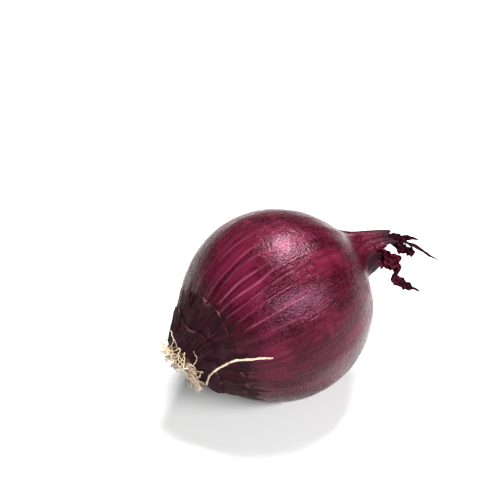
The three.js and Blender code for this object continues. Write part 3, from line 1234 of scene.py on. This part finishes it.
def add_strand(
    sheaf: Sheaf,
    path: np.ndarray,
    radii: np.ndarray,
    sides: int,
    seed: float,
    age: np.ndarray,
    form: OnionForm,
) -> None:
    """Adds one knotty round strand along a path.

    Args:
        sheaf: the mesh that it joins.
        path: its centre line, in the onion's own frame.
        radii: its radius at each point of the path.
        sides: points round it.
        seed: makes its knots its own.
        age: how brown it is at each point of the path.
        form: the onion, for its place in the row's frame.
    """
    across, over = carried_frames(path, np.array([0.31, 0.52, 0.79]))
    turn = np.linspace(0.0, 2.0 * math.pi, sides, endpoint=False)
    reach = np.linspace(0.0, 1.0, len(path))
    knots = 1.0 + 0.22 * np.sin(37.0 * reach + seed) * np.sin(91.0 * reach + 2.0 * seed)
    flat = 0.82 + 0.12 * np.sin(9.0 * reach + seed)
    wide = (radii * knots)[:, None] * np.cos(turn)
    high = (radii * knots * flat)[:, None] * np.sin(turn)
    points = path[:, None, :] + wide[..., None] * across[:, None, :] + high[..., None] * over[:, None, :]
    steps = np.concatenate([[0.0], np.cumsum(np.linalg.norm(np.diff(path, axis=0), axis=1))]) / MM
    grain = np.stack(
        np.broadcast_arrays(
            np.cos(turn)[None, :], np.sin(turn)[None, :] + seed * 5.0, steps[:, None]
        ), axis=-1
    )
    sheaf.add_grid(
        form.stand(points), capped=True, grain=grain, age=np.broadcast_to(age[:, None], points.shape[:2])
    )


@dataclass
class LongRoot:
    """The one long dry root that turns back over the plate's edge and lies along the side of the bulb."""

    form: OnionForm
    thickness: float = 0.95 * MM
    samples: int = 90
    sides: int = 12
    # Share along the axis, angle round it in degrees and lift above the bulb in mm.
    route: tuple[tuple[float, float, float], ...] = (
        (-1.165, 212.0, 3.0),
        (-1.155, 198.0, 3.0),
        (-1.11, 180.0, 2.8),
        (-1.02, 168.0, 2.6),
        (-0.93, 162.0, 2.3),
        (-0.83, 159.5, 1.9),
        (-0.77, 160.0, 1.8),
        (-0.65, 161.5, 1.6),
        (-0.515, 164.0, 1.5),
    )

    def build(self) -> bpy.types.Object:
        """Builds the root's mesh.

        Returns:
            The new piece.
        """
        form = self.form
        low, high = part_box("root_plate")
        plate = form.lie(np.array((low + high) / 2))
        radius = (high.y - low.y) / 2 + 0.4 * MM
        angle = math.radians(229.0)
        start = np.array([plate[0] + 0.6 * MM, radius * math.cos(angle), radius * math.sin(angle)])
        share, degrees, lift = np.array(self.route).T
        along = form.surface(share, np.radians(degrees), lift * MM)
        path = sample_curve(np.vstack([start, along]), self.samples)
        wobble = np.stack([lumps(path * 1.0, 3.0 * MM, s) for s in (1.5, 2.5, 3.5)], axis=-1) * 0.22 * MM
        reach = np.linspace(0.0, 1.0, self.samples)
        radii = self.thickness / 2 * (1.0 - 0.18 * reach) * (1.0 - 0.5 * smoothstep(reach, 0.985, 1.0))
        age = 0.35 * (1.0 - smoothstep(reach, 0.0, 0.25)) + 0.25 * smoothstep(reach, 0.97, 1.0)
        sheaf = Sheaf()
        add_strand(sheaf, path + wobble, radii, self.sides, 1.7, age, form)
        return sheaf.piece("long_dry_root")


@dataclass
class RootTuft:
    """A cluster of short dry roots that curl out of the plate near one CAD root, and hug the collar."""

    form: OnionForm
    number: int
    strands: int = 8
    samples: int = 34
    sides: int = 8
    base_radius: float = 0.34 * MM
    shortest: float = 4.0 * MM
    longest: float = 13.0 * MM

    def grow(
        self, start: np.ndarray, heading: np.ndarray, length: float, rng: np.random.Generator
    ) -> np.ndarray:
        """Grows one root as a curling path that stays off the bulb.

        Args:
            start: where it leaves the plate, in the onion's own frame.
            heading: its first direction.
            length: its length.
            rng: the source of its curls.

        Returns:
            Its centre line.
        """
        step = length / (self.samples - 1)
        spin = rng.normal(0.0, 1.6, 3)
        path, at = [start], start
        for _ in range(self.samples - 1):
            spin = 0.86 * spin + rng.normal(0.0, 0.62, 3)
            heading = heading + np.cross(spin, heading) * step * 260.0
            share, radius = at[0] / self.form.radius, math.hypot(at[1], at[2])
            out = np.array([0.0, at[1], at[2]]) / max(radius, 1e-9)
            surface = float(self.form.profile(np.array(share))) * self.form.radius if share > -1.17 else 0.0
            if share > -1.2 and radius < surface + 2.3 * MM:
                heading = heading + out * 0.8
            pushed = float(self.form.push(math.atan2(at[2], at[1]), min(radius / (9.0 * MM), 1.3)))
            if at[0] < self.form.radius * (self.form.root_end + pushed) - 4.2 * MM:
                heading = heading + np.array([0.55, 0.0, 0.0])
            if radius > 12.5 * MM:
                heading = heading - out * 0.6
            heading = heading / np.linalg.norm(heading)
            at = at + heading * step
            path.append(at)
        return np.array(path)

    def build(self) -> bpy.types.Object:
        """Builds the cluster's mesh.

        Returns:
            The new piece.
        """
        form = self.form
        low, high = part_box(f"root_{self.number}")
        middle = form.lie(np.array((low + high) / 2))
        plate_low, plate_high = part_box("root_plate")
        plate_radius = (plate_high.y - plate_low.y) / 2
        face = form.radius * form.root_end - 1.9 * MM
        angle, radius = math.atan2(middle[2], middle[1]), min(math.hypot(middle[1], middle[2]), plate_radius)
        rng = np.random.default_rng(100 + self.number)
        sheaf = Sheaf()
        for _ in range(self.strands):
            turn = angle + rng.normal(0.0, 0.28)
            spread = min(radius * rng.uniform(0.55, 1.0), plate_radius * 0.95)
            pushed = form.radius * form.push(turn, spread / plate_radius)
            start = np.array([face + pushed, spread * math.cos(turn), spread * math.sin(turn)])
            aside = turn + rng.choice([-1.0, 1.0]) * rng.uniform(0.5, 1.5)
            heading = np.array([-rng.uniform(0.1, 0.6), math.cos(aside), math.sin(aside)])
            length = rng.uniform(self.shortest, self.longest)
            path = self.grow(start, heading / np.linalg.norm(heading), length, rng)
            reach = np.linspace(0.0, 1.0, self.samples)
            radii = self.base_radius * rng.uniform(0.55, 1.0) * (1.0 - 0.62 * reach)
            age = 0.55 * (1.0 - smoothstep(reach, 0.0, 0.3)) * rng.uniform(0.3, 1.0) + 0.0 * reach
            add_strand(sheaf, path, radii, self.sides, rng.uniform(0.0, 6.0), age, form)
        return sheaf.piece(f"root_tuft_{self.number}")


# ---- Leaf ends ----


@dataclass
class LeafEnd:
    """A shrivelled papery leaf end: crumpled, curled strips, one over another, along a route out of
    the neck."""

    form: OnionForm
    node: str
    width: float
    # Places in the onion's own frame, in mm.
    route: tuple[tuple[float, float, float], ...]
    # Width along the route, as shares of the width at even steps.
    outline: tuple[float, ...]
    curl: float
    fresh: float
    seed: int
    plies: int = 3
    samples: int = 90
    across: int = 19
    thickness: float = 0.20 * MM
    hidden_length: float = 4.0
    crumple: float = 1.0 * MM

    def add_ply(self, sheaf: Sheaf, path: np.ndarray, ply: int) -> None:
        """Adds one strip, a closed thin sheet with ragged sides.

        Args:
            sheaf: the mesh that it joins.
            path: the leaf end's middle line.
            ply: number of the strip, 0 being the widest.
        """
        seed = self.seed + 11.3 * ply
        drift = np.stack([lumps(path, 5.0 * MM, seed + k) for k in (0.2, 0.4, 0.6)], axis=-1)
        reach = np.linspace(0.0, 1.0, self.samples)[:, None]
        path = path + drift * min(ply, 1) * self.crumple * 1.1 * (1.0 - 0.6 * reach)
        side, over = carried_frames(path, np.array([0.73, 0.19 - 0.2 * ply, 0.48]))
        q = np.linspace(-1.0, 1.0, self.across)[None, :]
        steps = np.linspace(0.0, 1.0, len(self.outline))
        wide = np.interp(reach[:, 0], steps, self.outline)[:, None] * self.width * MM / 2 * (1.0 - 0.22 * ply)
        flat = path[:, None, :] + (wide * q)[..., None] * side[:, None, :]
        torn = 1.0 + 0.55 * lumps(flat * np.array([1.0, 1.0, 0.6]), 2.2 * MM, seed, 3) * np.abs(q)
        bend = self.curl * (1.0 + 0.7 * np.sin(6.0 * reach + seed))
        bend = np.where(np.abs(bend) < 0.05, 0.05, bend)
        x = wide * torn * np.sin(bend * q) / bend
        y = wide * torn * (1.0 - np.cos(bend * q)) / bend
        loose = np.minimum(1.0, wide / (1.6 * MM))
        crease = lumps(flat, 2.6 * MM, seed + 3.3, 3) * self.crumple * loose
        sway = lumps(flat, 3.1 * MM, seed + 6.1, 2) * self.crumple * 0.7 * loose
        sheet = path[
            :, None, :
        ] + (x + sway)[..., None] * side[:, None, :] + (y + crease)[..., None] * over[:, None, :]
        back = sheet - over[:, None, :] * self.thickness
        along = reach * np.linalg.norm(np.diff(path, axis=0), axis=1).sum() / MM
        grain = np.stack(np.broadcast_arrays(wide * q / MM, seed + 0.0 * q, along), axis=-1)
        fresh = self.fresh * (1.0 - 0.4 * smoothstep(reach, 0.6, 1.0)) + 0.0 * q
        sheaf.add_grid(
            self.form.stand(np.concatenate([sheet, back[:, ::-1]], axis=1)),
            capped=True,
            grain=np.concatenate([grain, grain[:, ::-1]], axis=1),
            fresh=np.concatenate([fresh, fresh[:, ::-1]], axis=1),
        )

    def build(self) -> bpy.types.Object:
        """Builds the leaf end's mesh.

        Returns:
            The new piece.
        """
        route = np.array(self.route)
        hidden = route[0] - np.array([self.hidden_length, 0.25 * route[0][1], 0.25 * route[0][2]])
        path = sample_curve(np.vstack([hidden, route]) * MM, self.samples)
        sheaf = Sheaf()
        for ply in range(self.plies):
            self.add_ply(sheaf, path, ply)
        return sheaf.piece(self.node.replace("neck_leaf", "dry_leaf"))


# ---- Studio ----


@dataclass
class Studio:
    """A plain pale floor, soft lights and the camera."""

    form: OnionForm
    azimuth: float = math.radians(-30.0)
    elevation: float = math.radians(33.0)
    distance: float = 0.60
    lens: float = 116.0
    sensor: float = 36.0
    aim_right: float = -14.3 * MM
    aim_up: float = 25.5 * MM
    floor_reach: float = 4.0
    floor_dark: Colour = (0.47, 0.47, 0.47)
    floor_pale: Colour = (0.49, 0.49, 0.49)
    surround: float = 0.12

    def make_floor(self) -> None:
        """Adds the floor."""
        mesh = bpy.data.meshes.new("floor")
        reach = self.floor_reach
        corners = [(-reach, -reach, 0.0), (reach, -reach, 0.0), (reach, reach, 0.0), (-reach, reach, 0.0)]
        mesh.from_pydata(corners, [], [(0, 1, 2, 3)])
        floor = bpy.data.objects.new("floor", mesh)
        bpy.context.scene.collection.objects.link(floor)
        material = bpy.data.materials.new("pale_floor")
        material.use_nodes = True
        shader = material.node_tree.nodes["Principled BSDF"]
        bench = Bench(material.node_tree)
        tone = bench.remap(bench.noise(bench.place_in_mm(), 0.004, 2.0), 0.3, 0.7)
        material.node_tree.links.new(
            bench.mix(tone, self.floor_dark, self.floor_pale), shader.inputs["Base Color"]
        )
        shader.inputs["Roughness"].default_value = 0.9
        shader.inputs["Specular IOR Level"].default_value = 0.1
        mesh.materials.append(material)

    def make_light(self, name: str, place: Colour, width: float, height: float, power: float) -> None:
        """Adds a soft rectangular light that faces the bulb.

        Args:
            name: the light's name.
            place: where it is, in metres from the bulb's middle.
            width: its width, in metres.
            height: its height, in metres.
            power: its power, in watts.
        """
        data = bpy.data.lights.new(name, "AREA")
        data.shape = "RECTANGLE"
        data.size, data.size_y = width, height
        data.energy = power
        light = bpy.data.objects.new(name, data)
        light.location = self.form.centre + Vector(place)
        light.rotation_mode = "QUATERNION"
        light.rotation_quaternion = (-Vector(place)).to_track_quat("-Z", "Y")
        bpy.context.scene.collection.objects.link(light)

    def make_world(self) -> None:
        """Sets an even pale surround."""
        world = bpy.data.worlds.new("studio")
        bpy.context.scene.world = world
        world.use_nodes = True
        ground = world.node_tree.nodes["Background"]
        ground.inputs["Color"].default_value = (1.0, 1.0, 1.0, 1.0)
        ground.inputs["Strength"].default_value = self.surround

    def make_camera(self) -> None:
        """Adds the camera and makes it the scene's."""
        data = bpy.data.cameras.new("camera")
        data.lens = self.lens
        data.sensor_width = self.sensor
        data.clip_start, data.clip_end = 0.01, 50.0
        camera = bpy.data.objects.new("camera", data)
        cos, sin = math.cos(self.elevation), math.sin(self.elevation)
        back = Vector((math.sin(self.azimuth) * cos, -math.cos(self.azimuth) * cos, sin))
        turn = (-back).to_track_quat("-Z", "Y")
        right, up = turn @ Vector((1.0, 0.0, 0.0)), turn @ Vector((0.0, 1.0, 0.0))
        target = self.form.centre + right * self.aim_right + up * self.aim_up
        camera.location = target + back * self.distance
        camera.rotation_mode = "QUATERNION"
        camera.rotation_quaternion = turn
        bpy.context.scene.collection.objects.link(camera)
        bpy.context.scene.camera = camera

    def build(self) -> None:
        """Makes everything round the onion."""
        self.make_floor()
        self.make_world()
        self.make_light("overhead", place=(0.20, 0.14, 0.70), width=0.28, height=0.28, power=18.0)
        self.make_light("front", place=(0.00, -0.80, 0.57), width=1.25, height=0.12, power=30.0)
        self.make_camera()
        bpy.context.scene.view_settings.view_transform = "Standard"


# ---- Making it ----


def torn_skins(form: OnionForm) -> list[TornSkin]:
    """The two torn shells.

    Args:
        form: the onion's form.

    Returns:
        The outer skin's remnant and the older collar round the plate.
    """
    outer = TornSkin(
        form,
        name="torn_outer_skin",
        node="outer_skin",
        start=-1.11,
        edge=-0.80,
        lean=0.06,
        lean_angle=1.9,
        ragged=0.030,
        lift=0.16 * MM,
        edge_lift=0.30 * MM,
        wrinkle=0.17 * MM,
        seed=31,
        thickness=0.09 * MM,
        deepest_tear=0.10,
        slits=(
            (math.radians(84.0), 0.035, -0.93),
            (math.radians(126.0), 0.05, -0.92),
            (math.radians(146.0), 0.025, -0.90),
            (math.radians(186.0), 0.05, -1.00),
            (math.radians(-130.0), 0.04, -0.96),
            (math.radians(20.0), 0.03, -0.94),
        ),
    )
    collar = TornSkin(
        form,
        name="root_collar",
        node="root_skirt",
        start=-1.165,
        edge=-0.98,
        lean=0.03,
        lean_angle=2.4,
        ragged=0.028,
        lift=0.8 * MM,
        edge_lift=0.7 * MM,
        wrinkle=0.5 * MM,
        seed=47,
        rows=28,
        tear_spacing=1.3,
        slits=((math.radians(150.0), 0.04, -1.09), (math.radians(-60.0), 0.05, -1.08)),
    )
    return [outer, collar]


def leaf_ends(form: OnionForm) -> list[LeafEnd]:
    """The shrivelled leaf ends at the neck.

    Args:
        form: the onion's form.

    Returns:
        The leaf ends.
    """
    return [
        LeafEnd(
            form,
            node="neck_leaf_upper",
            width=7.0,
            route=(
                (50.5, 0.6, 1.6),
                (54.1, -1.3, 1.8),
                (55.1, -4.3, 0.4),
                (56.6, -7.7, -2.1),
                (57.7, -10.4, -4.0)
            ),
            outline=(0.9, 1.1, 1.1, 0.9, 0.8, 0.9, 0.75, 0.5),
            curl=1.3,
            fresh=0.30,
            seed=5,
        ),
        LeafEnd(
            form,
            node="neck_leaf_spike",
            width=2.6,
            route=(
                (52.2, -2.2, 3.1),
                (55.5, -4.2, 2.2),
                (58.3, -8.5, -0.1),
                (61.1, -12.6, -3.5),
                (64.1, -16.9, -7.2)
            ),
            outline=(1.2, 1.3, 1.2, 0.7, 0.5, 0.45, 0.42, 0.2),
            curl=1.5,
            fresh=0.30,
            seed=8,
            plies=2,
        ),
        LeafEnd(
            form,
            node="neck_leaf_lower",
            width=8.6,
            route=(
                (44.3, -2.0, 2.6),
                (45.9, -5.8, 1.7),
                (47.9, -9.4, -0.7),
                (48.5, -11.9, -3.2),
                (46.0, -13.3, -5.9),
                (46.8, -15.6, -8.2),
                (48.7, -17.9, -10.1),
                (51.0, -20.8, -12.4),
            ),
            outline=(0.6, 0.8, 1.0, 1.15, 1.2, 1.0, 0.5, 0.28, 0.6, 0.45, 0.18, 0.08),
            curl=1.2,
            fresh=0.50,
            seed=13,
            samples=130,
            across=25,
            crumple=1.3 * MM,
        ),
        LeafEnd(
            form,
            node="neck_leaf_back",
            width=3.6,
            route=((52.2, 2.4, 0.2), (54.2, 2.2, -2.1), (56.2, 1.6, -5.1), (58.0, 0.9, -8.0)),
            outline=(1.0, 1.0, 0.9, 0.8, 0.5, 0.2),
            curl=1.2,
            fresh=0.36,
            seed=17,
            plies=2,
        ),
        LeafEnd(
            form,
            node="neck_leaf_stub",
            width=2.8,
            route=((53.0, -0.6, 2.0), (57.0, -3.1, 0.8), (59.7, -5.4, 0.2), (62.1, -7.8, -0.8)),
            outline=(1.0, 1.1, 1.2, 0.9, 0.7, 0.3),
            curl=1.4,
            fresh=0.34,
            seed=21,
            plies=2,
        ),
    ]


def main() -> None:
    """Builds every piece and the studio."""
    logging.basicConfig(level=logging.INFO, format="%(message)s")
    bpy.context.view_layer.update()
    form = OnionForm()
    log.info("radius %.4f, centre %s, tilt %.2f", form.radius, tuple(form.centre), math.degrees(form.tilt))
    Studio(form).build()
    dress(Bulb(form).build(), SatinSkin(), ["bulb"])
    for skin in torn_skins(form):
        dress(skin.build(), DrySkin(), [skin.node])
    dress(RootPlate(form).build(), RootCork(), ["root_plate"])
    dress(LongRoot(form).build(), RootFibre(), ["long_root"])
    for number in range(1, 12):
        dress(RootTuft(form, number).build(), RootFibre(), [f"root_{number}"])
    for leaf in leaf_ends(form):
        dress(leaf.build(), DryLeaf(), [leaf.node])


if __name__ == "__main__":
    main()
